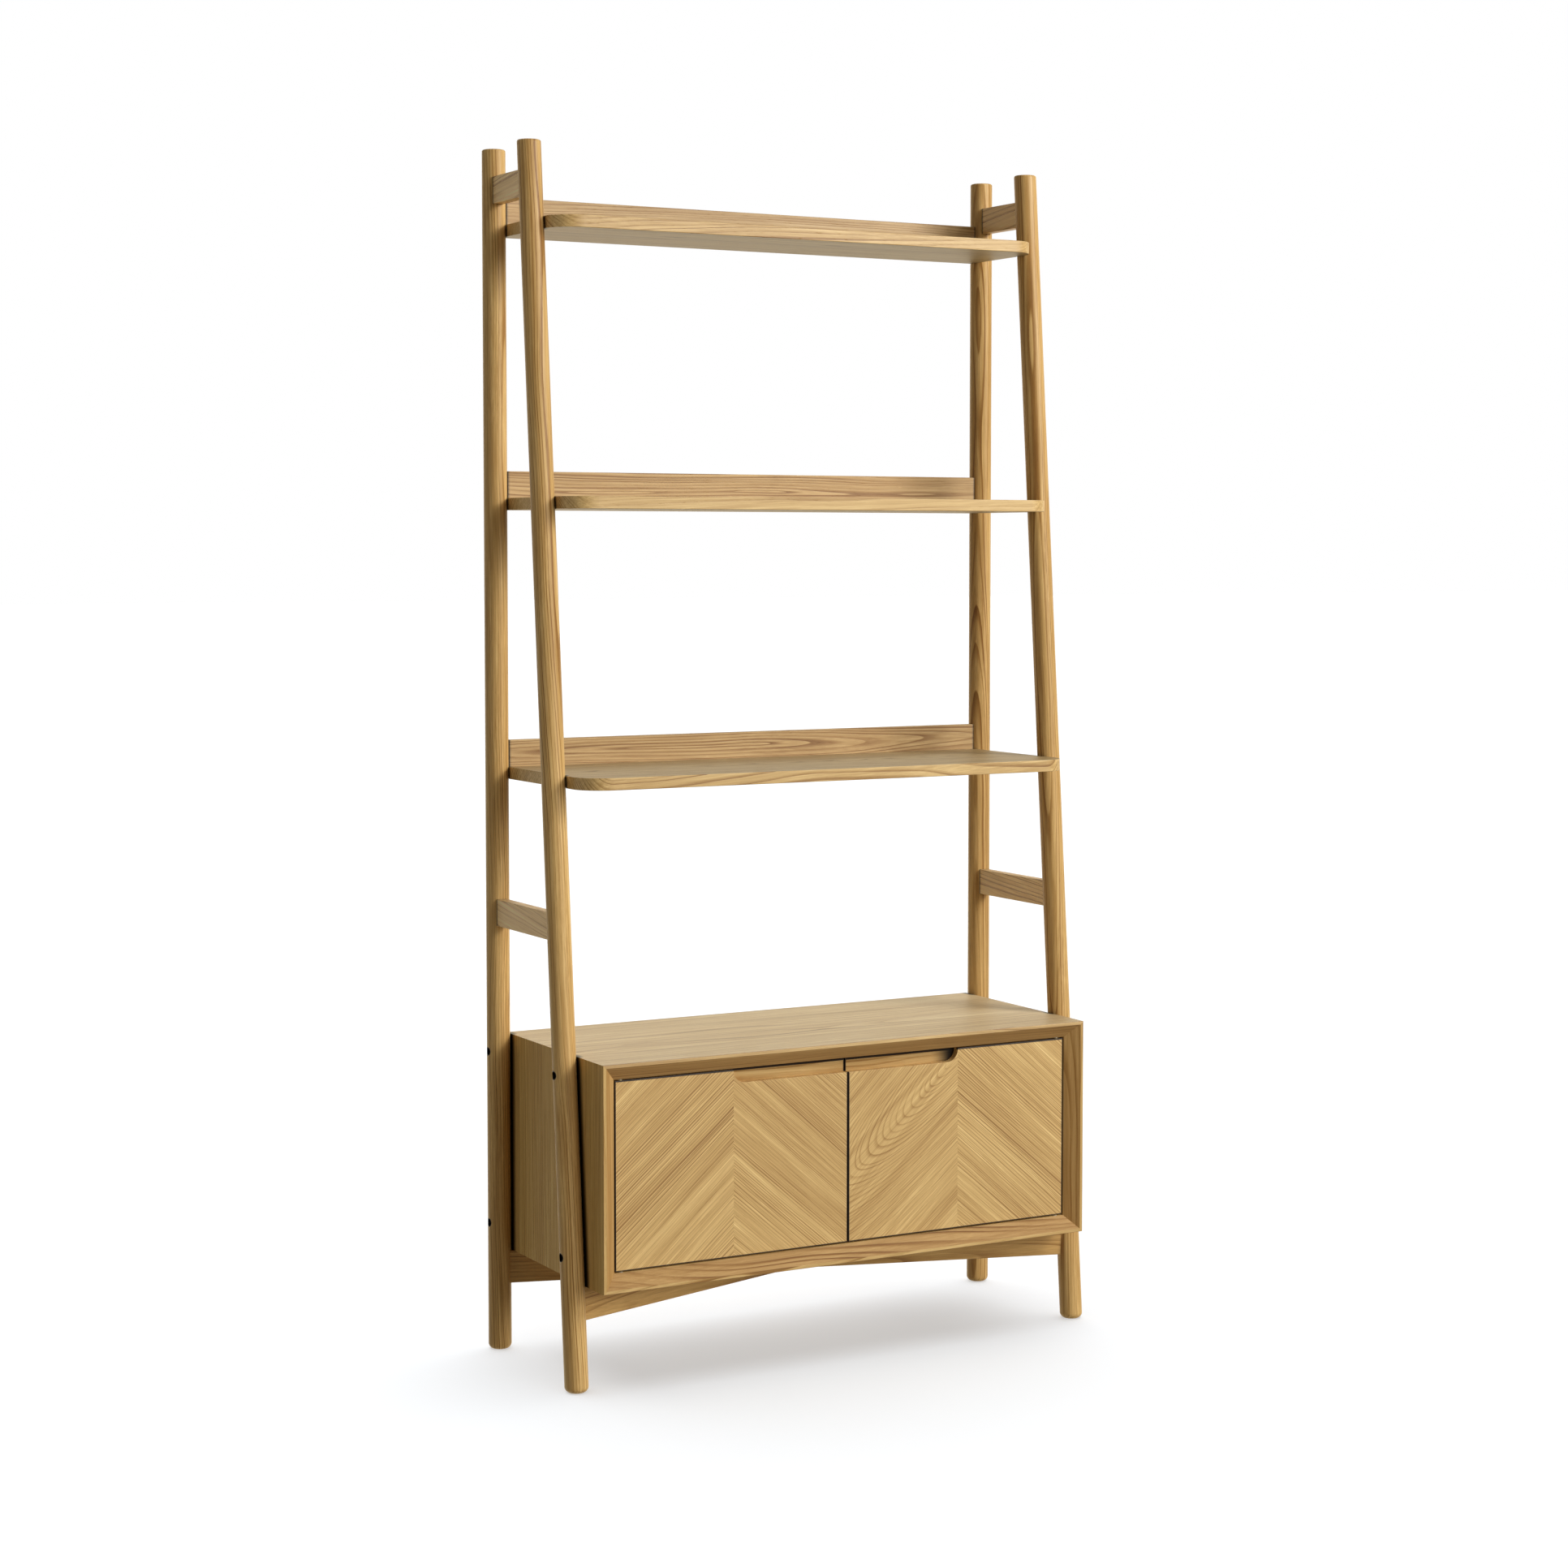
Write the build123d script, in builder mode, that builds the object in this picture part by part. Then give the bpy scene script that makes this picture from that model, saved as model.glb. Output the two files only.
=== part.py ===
from build123d import *
import math
import os

# Ladder shelf in oak: two upright rear posts, two front posts that lean back towards the top,
# three shelves with a low board along the back, and a two-door case that hangs between the
# posts on a crossed stretcher.
# Millimetres. +X is the right-hand side, the front faces -Y, +Z is up.
# The origin is on the floor, under the middle of the whole shelf.

# ---- overall ----
overall_width = 894.0
overall_depth = 345.0
overall_height = 1800.0

# ---- posts ----
post_d = 35.0
post_spread_floor = 273.0  # rear post axis to front post axis, at the floor
post_spread_top = 127.0  # the same, at the top
foot_round = 8.5
post_top_round = 3.0

# ---- shelves, from the lowest to the highest ----
shelf_t = 18.0
shelf_overlap = 3.8  # how far a shelf end reaches past the inner face of a post
shelf_back_offset = 7.7  # shelf back edge, behind the rear post axis
shelf_corner_r = 44.0
shadow_gap = 1.2  # between a post and the hollow that a shelf end has for it
upper_shelf_below_top = 110.0  # upper shelf face, below the tops of the posts
middle_shelf_rise = 402.0  # middle shelf face, above the lower one
lower_shelf_rise = 404.0  # lower shelf face, above the case top
upper_shelf_depth = 198.3
middle_shelf_depth = 244.7
lower_shelf_depth = 291.4
upstand_t = 16.0
upstand_h = 40.0

# ---- side cross rails ----
rail_t = 17.0
rail_h = 40.0
upper_rail_below_top = 41.0
middle_rail_rise = 166.0  # its lower edge, above the case top
rail_tenon_t = 8.0
rail_tenon_h = 26.0
rail_tenon_l = 12.0

# ---- crossed stretcher under the case ----
stretcher_t = 20.0
stretcher_h = 49.0
stretcher_tenon_t = 9.0
stretcher_tenon_h = 32.0
stretcher_tenon_l = 10.0

# ---- case ----
case_bottom_z = 150.0
case_h = 329.5
case_back_offset = 10.9  # case back, behind the rear post axis
case_wall = 25.0
case_lip = 5.0  # flat front edge of the case, before the bevel
door_recess = 17.5  # door face, behind the front of the case
back_t = 6.0
back_rebate = 8.0

# ---- doors ----
door_t = 18.0
door_gap = 2.0
pull_h = 20.0
pull_r = 19.0
pull_depth = 11.0
pull_strip_lap = 10.0

# ---- pin hinges ----
hinge_in = 10.0  # hinge axis, in from the outer edge of the door
hinge_back = 5.5  # hinge axis, behind the door face
hinge_pin_d = 5.0
hinge_pin_in_case = 12.0
hinge_pin_in_door = 12.0
hinge_collar_d = 9.0
hinge_collar_t = 0.95
bush_d = 7.5
bush_l = 14.0
bush_flange_t = 1.0
running_gap = 0.05

# ---- magnetic catch ----
catch_size = (80.0, 14.0, 12.0)
magnet_size = (20.0, 5.0, 7.0)
magnet_x = 18.0
catch_screw_x = 34.0
strike_size = (26.0, 1.2, 9.0)
strike_x = 20.0
strike_screw_x = 8.0
strike_gap = 0.4

# ---- fixings ----
fit_gap = 0.1
dowel_d = 8.0
shelf_dowel_in_post = 18.0
shelf_dowel_in_shelf = 26.0
upstand_dowel_l = 26.0
upstand_dowel_in_shelf = 12.0
upstand_dowel_pitch = 180.0
upstand_dowel_count = 5
mitre_dowel_d = 6.0
mitre_dowel_l = 20.0
mitre_dowel_pitch = 100.0
mitre_dowel_count = 3
bolt_d = 6.0
bolt_head_d = 10.0
bolt_head_h = 6.0
bolt_l = 38.0
bolt_below_case_top = 25.0
bolt_above_case_bottom = 44.0
counterbore_d = 11.6
counterbore_depth = 13.0
insert_d = 9.0
insert_l = 18.0
stretcher_screw_d = 5.0
stretcher_screw_head_d = 9.0
stretcher_screw_l = 46.0
stretcher_screw_sink = 19.0
stretcher_screw_reach = 190.0
small_screw_d = 3.5
small_screw_head_d = 7.0
small_screw_l = 16.0
tiny_screw_d = 2.5
tiny_screw_head_d = 4.6
tiny_screw_l = 6.0
catch_screw_l = 22.0
back_screw_count_x = 4
back_screw_inset = 60.0

# ---- wall plates on the back of the upper upstand ----
wall_plate_size = (40.0, 1.5, 22.0)
wall_plate_x = 300.0
keyhole_d = 9.0
keyhole_slot = 4.5
keyhole_drop = 4.0
keyhole_rise = 9.0
keyhole_pocket = (14.0, 6.0, 18.0)
wall_screw_x = 15.0

edge_round = 1.0

# ---- places that follow from the sizes above ----
post_r = post_d / 2
post_x = (overall_width - post_d) / 2
post_inner_x = post_x - post_r
rear_post_y = overall_depth / 2 - post_r
front_foot_y = rear_post_y - post_spread_floor
rake = (post_spread_floor - post_spread_top) / overall_height
shelf_half = post_inner_x + shelf_overlap
shelf_back_y = rear_post_y + shelf_back_offset
case_half = post_inner_x
case_top_z = case_bottom_z + case_h
case_mid_z = case_bottom_z + case_h / 2
case_front_y = -overall_depth / 2
case_back_y = rear_post_y + case_back_offset
case_depth = case_back_y - case_front_y
opening_half = case_half - case_wall
opening_low = case_bottom_z + case_wall
opening_high = case_top_z - case_wall
door_front_y = case_front_y + door_recess
door_back_y = door_front_y + door_t
door_outer_x = opening_half - door_gap
door_inner_x = door_gap / 2
door_low = opening_low + door_gap
door_high = opening_high - door_gap
door_middle_x = (door_outer_x + door_inner_x) / 2
hinge_x = door_outer_x - hinge_in
hinge_y = door_front_y + hinge_back
lower_shelf_z = case_top_z + lower_shelf_rise
middle_shelf_z = lower_shelf_z + middle_shelf_rise
upper_shelf_z = overall_height - upper_shelf_below_top
shelves = {
    "lower": (lower_shelf_z, lower_shelf_depth),
    "middle": (middle_shelf_z, middle_shelf_depth),
    "upper": (upper_shelf_z, upper_shelf_depth),
}
shelf_tops = (lower_shelf_z, middle_shelf_z, upper_shelf_z)
upper_rail_z = overall_height - upper_rail_below_top - rail_h
middle_rail_z = case_top_z + middle_rail_rise
stretcher_top = case_bottom_z
stretcher_mid_z = stretcher_top - stretcher_h / 2
catch_front_y = door_back_y + strike_size[1] + strike_gap
strike_z = opening_high - catch_size[2] / 2
bolt_heights = (case_bottom_z + bolt_above_case_bottom, case_top_z - bolt_below_case_top)
far = 3 * overall_height

os.makedirs("parts", exist_ok=True)


def save(builder, name):
    """Labels a finished piece and writes it."""
    builder.part.label = name
    export_step(builder.part, f"parts/{name}.step")


def save_pair(builder, name):
    """Writes the left-hand piece and its mirror image on the right."""
    save(builder, f"left_{name}")
    with BuildPart() as mirrored:
        mirror(builder.part, about=Plane.YZ)
    save(mirrored, f"right_{name}")


def post_y(front, z):
    """Where a post's axis is at a height."""
    return front_foot_y + rake * z if front else rear_post_y


def post_plane(side, front):
    """A plane on the floor whose normal runs up a post's axis."""
    lean = rake if front else 0
    return Plane(origin=(side * post_x, post_y(front, 0), 0), x_dir=(1, 0, 0), z_dir=(0, lean, 1))


def round_bar(side, front, radius, mode=Mode.ADD):
    """An endless round bar on a post's axis."""
    with Locations(post_plane(side, front)):
        Cylinder(radius, far, mode=mode)


def rod(start, direction, length, radius, mode=Mode.ADD):
    """A round rod from a start point along a direction."""
    with Locations(Plane(origin=start, z_dir=direction)):
        Cylinder(radius, length, align=(Align.CENTER, Align.CENTER, Align.MIN), mode=mode)


def block(low, high, mode=Mode.ADD):
    """A block between two opposite corners."""
    middle = [(a + b) / 2 for a, b in zip(low, high)]
    size = [b - a for a, b in zip(low, high)]
    with Locations(tuple(middle)):
        Box(*size, mode=mode)


def countersunk(start, direction, length, shank_d, head_d, gap=0.0, mode=Mode.ADD):
    """A countersunk screw from the middle of its head, or with a gap the hole for it."""
    head_h = (head_d - shank_d) / 2
    with Locations(Plane(origin=start, z_dir=direction)):
        Cone(
            head_d / 2 + gap,
            shank_d / 2 + gap,
            head_h,
            align=(Align.CENTER, Align.CENTER, Align.MIN),
            mode=mode,
        )
    rod(start, direction, length + gap, shank_d / 2 + gap, mode)


corners = [(side, front) for side in (-1, 1) for front in (False, True)]


# ---- dowels, bolts and screws, each as a solid or, with a gap, as the hole for it ----
def shelf_dowel(side, front, top, gap=0.0, mode=Mode.ADD):
    """The dowel along X that carries one corner of a shelf on its post."""
    z = top - shelf_t / 2
    start = (side * (post_inner_x + shelf_dowel_in_post + gap), post_y(front, z), z)
    length = shelf_dowel_in_post + shelf_dowel_in_shelf + 2 * gap
    rod(start, (-side, 0, 0), length, dowel_d / 2 + gap, mode)


def upstand_dowels(top, gap=0.0, mode=Mode.ADD):
    """The upright dowels between a shelf and the board along its back."""
    for i in range(upstand_dowel_count):
        x = (i - (upstand_dowel_count - 1) / 2) * upstand_dowel_pitch
        start = (x, shelf_back_y - upstand_t / 2, top - upstand_dowel_in_shelf - gap)
        rod(start, (0, 0, 1), upstand_dowel_l + 2 * gap, dowel_d / 2 + gap, mode)


def mitre_dowels(gap=0.0, mode=Mode.ADD):
    """Three short dowels square across each mitre of the case."""
    half = mitre_dowel_l / 2 + gap
    for sx in (-1, 1):
        for sz in (-1, 1):
            x = sx * (case_half - case_wall / 2)
            z = case_mid_z + sz * (case_h / 2 - case_wall / 2)
            way = Vector(sx, 0, -sz).normalized()
            for i in range(mitre_dowel_count):
                y = (case_front_y + case_back_y) / 2
                y += (i - (mitre_dowel_count - 1) / 2) * mitre_dowel_pitch
                rod(Vector(x, y, z) - way * half, way, 2 * half, mitre_dowel_d / 2 + gap, mode)


def bolt_axis_points(side, front):
    """Where the two case bolts of a post cross its axis."""
    return [Vector(side * post_x, post_y(front, z), z) for z in bolt_heights]


def bolt(point, side, gap=0.0, mode=Mode.ADD):
    """A socket-head bolt from the counterbore floor through the post into the case side."""
    floor = point + Vector(side * (post_r - counterbore_depth), 0, 0)
    rod(floor, (side, 0, 0), bolt_head_h, bolt_head_d / 2, mode)
    rod(floor, (-side, 0, 0), bolt_l + gap, bolt_d / 2 + gap, mode)


def insert_sleeve(point, side, radius, length, mode=Mode.ADD):
    """A round sleeve from the outer face of the case side inwards."""
    start = Vector(side * case_half, point.Y, point.Z)
    rod(start, (-side, 0, 0), length, radius, mode)


def stretcher_ends(way, z=stretcher_mid_z):
    """The two ends of one stretcher on the post axes, rear then front. way is +1 or -1."""
    return Vector(-way * post_x, post_y(False, z), z), Vector(way * post_x, post_y(True, z), z)


def stretcher_frame(way):
    """A level plane at the middle of one stretcher, with X along it."""
    rear, front = stretcher_ends(way)
    run = front - rear
    return Plane(origin=(rear + front) * 0.5, x_dir=(run.X, run.Y, 0), z_dir=(0, 0, 1)), run.length


def stretcher_bar(way, thickness, height, end_depth, mode=Mode.ADD):
    """A bar along one stretcher that reaches end_depth past both post surfaces."""
    plane, length = stretcher_frame(way)
    with Locations(plane):
        Box(length - 2 * (post_r - end_depth), thickness, height, mode=mode)


def stretcher_screws(gap=0.0, mode=Mode.ADD):
    """Screws up through the stretchers into the case bottom, one of them through the halving."""
    spots = [Vector(0, (post_y(False, 0) + post_y(True, stretcher_mid_z)) / 2, 0)]
    for way in (-1, 1):
        plane, _ = stretcher_frame(way)
        for reach in (-stretcher_screw_reach, stretcher_screw_reach):
            spot = plane.from_local_coords(Vector(reach, 0, 0))
            spots.append(Vector(spot.X, spot.Y, 0))
    for spot in spots:
        start = Vector(spot.X, spot.Y, stretcher_top - stretcher_h + stretcher_screw_sink)
        countersunk(
            start, (0, 0, 1), stretcher_screw_l, stretcher_screw_d, stretcher_screw_head_d, gap, mode
        )
        if mode == Mode.SUBTRACT:
            rod(start, (0, 0, -1), stretcher_h, stretcher_screw_head_d / 2 + gap, mode)


def back_screws(gap=0.0, mode=Mode.ADD):
    """The screws around the edge of the case back."""
    edge = opening_half + back_rebate / 2
    span = 2 * (case_half - back_screw_inset)
    spots = []
    for i in range(back_screw_count_x):
        x = -span / 2 + i * span / (back_screw_count_x - 1)
        spots += [(x, opening_low - back_rebate / 2), (x, opening_high + back_rebate / 2)]
    for x in (-edge, edge):
        spots.append((x, case_mid_z))
    for x, z in spots:
        start = (x, case_back_y, z)
        countersunk(
            start, (0, -1, 0), small_screw_l, small_screw_d, small_screw_head_d - 1, gap, mode
        )


def catch_screws(gap=0.0, mode=Mode.ADD):
    """The two screws that hold the catch up to the case top."""
    for x in (-catch_screw_x, catch_screw_x):
        start = (x, catch_front_y + catch_size[1] / 2, opening_high - catch_size[2])
        countersunk(start, (0, 0, 1), catch_screw_l, small_screw_d, small_screw_head_d, gap, mode)


def hinge_pins(gap=0.0, mode=Mode.ADD):
    """Upper and lower hinge pins of both doors, each with a collar that carries the bush."""
    for side in (-1, 1):
        for z, way in ((opening_low, 1), (opening_high, -1)):
            face = Vector(side * hinge_x, hinge_y, z)
            up = Vector(0, 0, way)
            deep = hinge_pin_in_case + gap
            length = deep + door_gap + hinge_pin_in_door
            rod(face - up * deep, up, length, hinge_pin_d / 2 + gap, mode)
            if mode == Mode.ADD:
                rod(face, up, hinge_collar_t, hinge_collar_d / 2, mode)


def strike_screws(gap=0.0, mode=Mode.ADD):
    """The two screws of the left-hand strike plate."""
    for x in (-strike_x - strike_screw_x, -strike_x + strike_screw_x):
        start = (x, door_back_y + strike_size[1], strike_z)
        countersunk(start, (0, -1, 0), tiny_screw_l, tiny_screw_d, tiny_screw_head_d, gap, mode)


def wall_plate_screws(gap=0.0, mode=Mode.ADD):
    """Two screws for each wall plate."""
    z = upper_shelf_z + upstand_h / 2
    for side in (-1, 1):
        for dx in (-wall_screw_x, wall_screw_x):
            start = (side * wall_plate_x + dx, shelf_back_y, z)
            countersunk(
                start, (0, -1, 0), upstand_t * 0.7, tiny_screw_d, tiny_screw_head_d, gap, mode
            )


# ---- posts ----
for front in (False, True):
    with BuildPart() as post:
        round_bar(-1, front, post_r)
        block((-overall_width, -overall_depth, 0), (0, overall_depth, overall_height), Mode.INTERSECT)
        fillet(post.faces().sort_by(Axis.Z)[0].edges(), foot_round)
        fillet(post.faces().sort_by(Axis.Z)[-1].edges(), post_top_round)
        for top in shelf_tops:
            shelf_dowel(-1, front, top, fit_gap, Mode.SUBTRACT)
        # Mortises for the two cross rails, open towards the other post.
        inward = 1 if front else -1
        for low in (upper_rail_z, middle_rail_z):
            z = low + rail_h / 2
            surface = post_y(front, z) + inward * post_r
            ends = sorted((surface - inward * (rail_tenon_l + fit_gap), surface + inward * post_r))
            block(
                (-post_x - rail_tenon_t / 2 - fit_gap, ends[0], z - rail_tenon_h / 2 - fit_gap),
                (-post_x + rail_tenon_t / 2 + fit_gap, ends[1], z + rail_tenon_h / 2 + fit_gap),
                Mode.SUBTRACT,
            )
        # Mortise for the stretcher that ends in this post.
        stretcher_bar(
            -1 if front else 1,
            stretcher_tenon_t + 2 * fit_gap,
            stretcher_tenon_h + 2 * fit_gap,
            stretcher_tenon_l + fit_gap,
            Mode.SUBTRACT,
        )
        # Counterbored bolt holes from the outer side.
        for point in bolt_axis_points(-1, front):
            floor = point - Vector(post_r - counterbore_depth, 0, 0)
            rod(floor, (-1, 0, 0), post_d, counterbore_d / 2, Mode.SUBTRACT)
            rod(floor, (1, 0, 0), post_d, bolt_d / 2 + fit_gap, Mode.SUBTRACT)
    save_pair(post, "front_post" if front else "rear_post")

# ---- side cross rails, with shoulders that follow the round posts ----
for name, low in (("upper_rail", upper_rail_z), ("middle_rail", middle_rail_z)):
    z = low + rail_h / 2
    with BuildPart() as rail:
        block(
            (-post_x - rail_t / 2, post_y(True, z), low),
            (-post_x + rail_t / 2, post_y(False, z), low + rail_h),
        )
        fillet(rail.edges().filter_by(Axis.Y), edge_round)
        for front in (False, True):
            round_bar(-1, front, post_r, Mode.SUBTRACT)
        block(
            (
                -post_x - rail_tenon_t / 2,
                post_y(True, z) + post_r - rail_tenon_l,
                z - rail_tenon_h / 2,
            ),
            (
                -post_x + rail_tenon_t / 2,
                post_y(False, z) - post_r + rail_tenon_l,
                z + rail_tenon_h / 2,
            ),
        )
    save_pair(rail, name)

# ---- crossed stretchers, halved into each other ----
for name, way, notch in (("lower_halved_stretcher", 1, 1), ("upper_halved_stretcher", -1, -1)):
    with BuildPart() as stretcher:
        stretcher_bar(way, stretcher_t, stretcher_h, post_r)
        fillet(stretcher.edges().filter_by(Plane.XY).group_by(SortBy.LENGTH)[-1], edge_round)
        for side, front in corners:
            round_bar(side, front, post_r, Mode.SUBTRACT)
        stretcher_bar(way, stretcher_tenon_t, stretcher_tenon_h, stretcher_tenon_l)
        # The other stretcher passes through this half of the height.
        crossing, _ = stretcher_frame(-way)
        with Locations(crossing.offset(notch * stretcher_h / 4)):
            Box(
                6 * stretcher_t,
                stretcher_t + 2 * fit_gap,
                stretcher_h / 2 + fit_gap,
                mode=Mode.SUBTRACT,
            )
        stretcher_screws(fit_gap, Mode.SUBTRACT)
    save(stretcher, name)

# ---- shelves and the boards along their backs ----
for name, (top, depth) in shelves.items():
    with BuildPart() as board:
        with BuildSketch(Plane.XY.offset(top - shelf_t)) as outline:
            with Locations((0, shelf_back_y - depth / 2)):
                Rectangle(2 * shelf_half, depth)
            fillet(outline.vertices().group_by(Axis.Y)[0], shelf_corner_r)
        extrude(amount=shelf_t)
        fillet(board.faces().filter_by(Axis.Z).edges(), edge_round)
        for side, front in corners:
            round_bar(side, front, post_r + shadow_gap, Mode.SUBTRACT)
            shelf_dowel(side, front, top, fit_gap, Mode.SUBTRACT)
        upstand_dowels(top, fit_gap, Mode.SUBTRACT)
    save(board, f"{name}_shelf")
    with BuildPart() as upstand:
        block(
            (-shelf_half, shelf_back_y - upstand_t, top),
            (shelf_half, shelf_back_y, top + upstand_h),
        )
        fillet(upstand.faces().sort_by(Axis.Z)[-1].edges(), edge_round)
        for side in (-1, 1):
            round_bar(side, False, post_r + shadow_gap, Mode.SUBTRACT)
        upstand_dowels(top, fit_gap, Mode.SUBTRACT)
        if name == "upper":
            z = top + upstand_h / 2
            for side in (-1, 1):
                for size in (wall_plate_size, keyhole_pocket):
                    with Locations((side * wall_plate_x, shelf_back_y - size[1] / 2, z)):
                        Box(size[0] + 2 * fit_gap, size[1], size[2] + 2 * fit_gap, mode=Mode.SUBTRACT)
            wall_plate_screws(fit_gap, Mode.SUBTRACT)
    save(upstand, f"{name}_upstand")

with BuildPart() as dowels:
    for top in shelf_tops:
        for side, front in corners:
            shelf_dowel(side, front, top)
save(dowels, "shelf_dowels")

with BuildPart() as dowels:
    for top in shelf_tops:
        upstand_dowels(top)
save(dowels, "upstand_dowels")

# ---- wall plates ----
with BuildPart() as plates:
    z = upper_shelf_z + upstand_h / 2
    for side in (-1, 1):
        with BuildSketch(Plane.XZ.offset(-shelf_back_y)) as outline:
            with Locations((side * wall_plate_x, z)):
                RectangleRounded(wall_plate_size[0], wall_plate_size[2], 2 * edge_round)
            with Locations((side * wall_plate_x, z - keyhole_drop)):
                Circle(keyhole_d / 2, mode=Mode.SUBTRACT)
            with Locations((side * wall_plate_x, z - keyhole_drop + keyhole_rise / 2)):
                SlotCenterToCenter(
                    keyhole_rise, keyhole_slot, rotation=90, mode=Mode.SUBTRACT
                )
        extrude(amount=wall_plate_size[1])
    wall_plate_screws(fit_gap, Mode.SUBTRACT)
save(plates, "wall_plates")

with BuildPart() as screws:
    wall_plate_screws()
save(screws, "wall_plate_screws")


# ---- case: one mitred ring, cut into its four boards ----
def case_ring():
    """The whole case as one ring, with the bevelled front and the rebate for the back."""
    block((-case_half, case_front_y, case_bottom_z), (case_half, case_back_y, case_top_z))
    opening = 2 * opening_half, opening_high - opening_low
    spread = 2 * (case_wall - case_lip)
    with Locations((0, (case_front_y + case_back_y) / 2, case_mid_z)):
        Box(opening[0], 2 * case_depth, opening[1], mode=Mode.SUBTRACT)
    with BuildSketch(Plane.XZ.offset(-case_front_y)) as mouth:
        with Locations((0, case_mid_z)):
            Rectangle(opening[0] + spread, opening[1] + spread)
    bevel = math.degrees(math.atan2(case_wall - case_lip, door_recess))
    extrude(mouth.sketch, amount=-door_recess, taper=bevel, mode=Mode.SUBTRACT)
    with Locations((0, case_back_y - back_t / 2, case_mid_z)):
        Box(opening[0] + 2 * back_rebate, back_t, opening[1] + 2 * back_rebate, mode=Mode.SUBTRACT)


waist = case_half - case_h / 2
top_left, top_right = (-case_half, case_top_z), (case_half, case_top_z)
low_left, low_right = (-case_half, case_bottom_z), (case_half, case_bottom_z)
waist_left, waist_right = (-waist, case_mid_z), (waist, case_mid_z)
sectors = {
    "case_top": (top_left, top_right, waist_right, waist_left),
    "case_bottom": (low_left, waist_left, waist_right, low_right),
    "left_case_side": (top_left, waist_left, low_left),
    "right_case_side": (top_right, low_right, waist_right),
}
for name, sector in sectors.items():
    with BuildPart() as board:
        case_ring()
        with BuildSketch(Plane.XZ) as wedge:
            Polygon(*sector, align=None)
        extrude(wedge.sketch, amount=far, both=True, mode=Mode.INTERSECT)
        outer_axis, outer_end = (Axis.X, -1) if "right" in name else (Axis.X, 0)
        if name in ("case_top", "case_bottom"):
            outer_axis, outer_end = Axis.Z, -1 if name == "case_top" else 0
        outer_face = board.faces().sort_by(outer_axis)[outer_end]
        fillet(outer_face.edges().sort_by(Axis.Y)[0], edge_round)
        mitre_dowels(fit_gap, Mode.SUBTRACT)
        back_screws(fit_gap, Mode.SUBTRACT)
        if name == "case_bottom":
            stretcher_screws(fit_gap, Mode.SUBTRACT)
        if name == "case_top":
            catch_screws(fit_gap, Mode.SUBTRACT)
        if name in ("case_top", "case_bottom"):
            hinge_pins(fit_gap, Mode.SUBTRACT)
        if "side" in name:
            side = -1 if "left" in name else 1
            for front in (False, True):
                for point in bolt_axis_points(side, front):
                    insert_sleeve(point, side, insert_d / 2 + fit_gap, insert_l + 2, Mode.SUBTRACT)
    save(board, name)

with BuildPart() as back:
    block(
        (
            -opening_half - back_rebate + fit_gap,
            case_back_y - back_t,
            opening_low - back_rebate + fit_gap,
        ),
        (
            opening_half + back_rebate - fit_gap,
            case_back_y,
            opening_high + back_rebate - fit_gap,
        ),
    )
    back_screws(fit_gap, Mode.SUBTRACT)
save(back, "case_back")

with BuildPart() as screws:
    back_screws()
save(screws, "back_screws")

with BuildPart() as dowels:
    mitre_dowels()
save(dowels, "mitre_dowels")

with BuildPart() as screws:
    stretcher_screws()
save(screws, "stretcher_screws")

with BuildPart() as bolts:
    for side, front in corners:
        for point in bolt_axis_points(side, front):
            bolt(point, side)
save(bolts, "case_bolts")

with BuildPart() as inserts:
    for side, front in corners:
        for point in bolt_axis_points(side, front):
            insert_sleeve(point, side, insert_d / 2, insert_l)
            insert_sleeve(point, side, bolt_d / 2 + fit_gap, insert_l, Mode.SUBTRACT)
save(inserts, "threaded_inserts")

# ---- doors ----
strip_outer_x = -door_middle_x - pull_strip_lap
strip_low = door_high - pull_h - pull_strip_lap
with BuildPart() as door:
    with BuildSketch(Plane.XZ.offset(-door_front_y)) as outline:
        with Locations((-door_middle_x, (door_low + door_high) / 2)):
            Rectangle(door_outer_x - door_inner_x, door_high - door_low)
    extrude(amount=-door_t)
    with BuildSketch(Plane.XZ.offset(-door_front_y)) as notch:
        with Locations((0, door_high)):
            Rectangle(2 * door_middle_x, 2 * pull_h)
        fillet(notch.vertices(), pull_r)
    extrude(amount=-door_t, mode=Mode.SUBTRACT)
    fillet(door.faces().sort_by(Axis.Y)[0].edges(), edge_round / 2)
    block(
        (strip_outer_x - fit_gap, door_front_y + pull_depth, strip_low - fit_gap),
        (0, door_back_y, door_high),
        Mode.SUBTRACT,
    )
    for z, way in ((door_low, 1), (door_high, -1)):
        rod((-hinge_x, hinge_y, z), (0, 0, way), bush_l + fit_gap, bush_d / 2 + fit_gap, Mode.SUBTRACT)
save_pair(door, "door")

with BuildPart() as strip:
    block(
        (strip_outer_x, door_front_y + pull_depth, strip_low),
        (-door_inner_x, door_back_y, door_high),
    )
    strike_screws(fit_gap, Mode.SUBTRACT)
save_pair(strip, "pull_strip")

with BuildPart() as bushes:
    for z, way in ((door_low, 1), (door_high, -1)):
        rod((-hinge_x, hinge_y, z), (0, 0, way), bush_l, bush_d / 2)
        rod((-hinge_x, hinge_y, z), (0, 0, -way), bush_flange_t, hinge_collar_d / 2)
    rod(
        (-hinge_x, hinge_y, opening_low),
        (0, 0, 1),
        opening_high - opening_low,
        hinge_pin_d / 2 + running_gap,
        Mode.SUBTRACT,
    )
save_pair(bushes, "door_bushes")

with BuildPart() as pins:
    hinge_pins()
save(pins, "hinge_pins")

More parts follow.
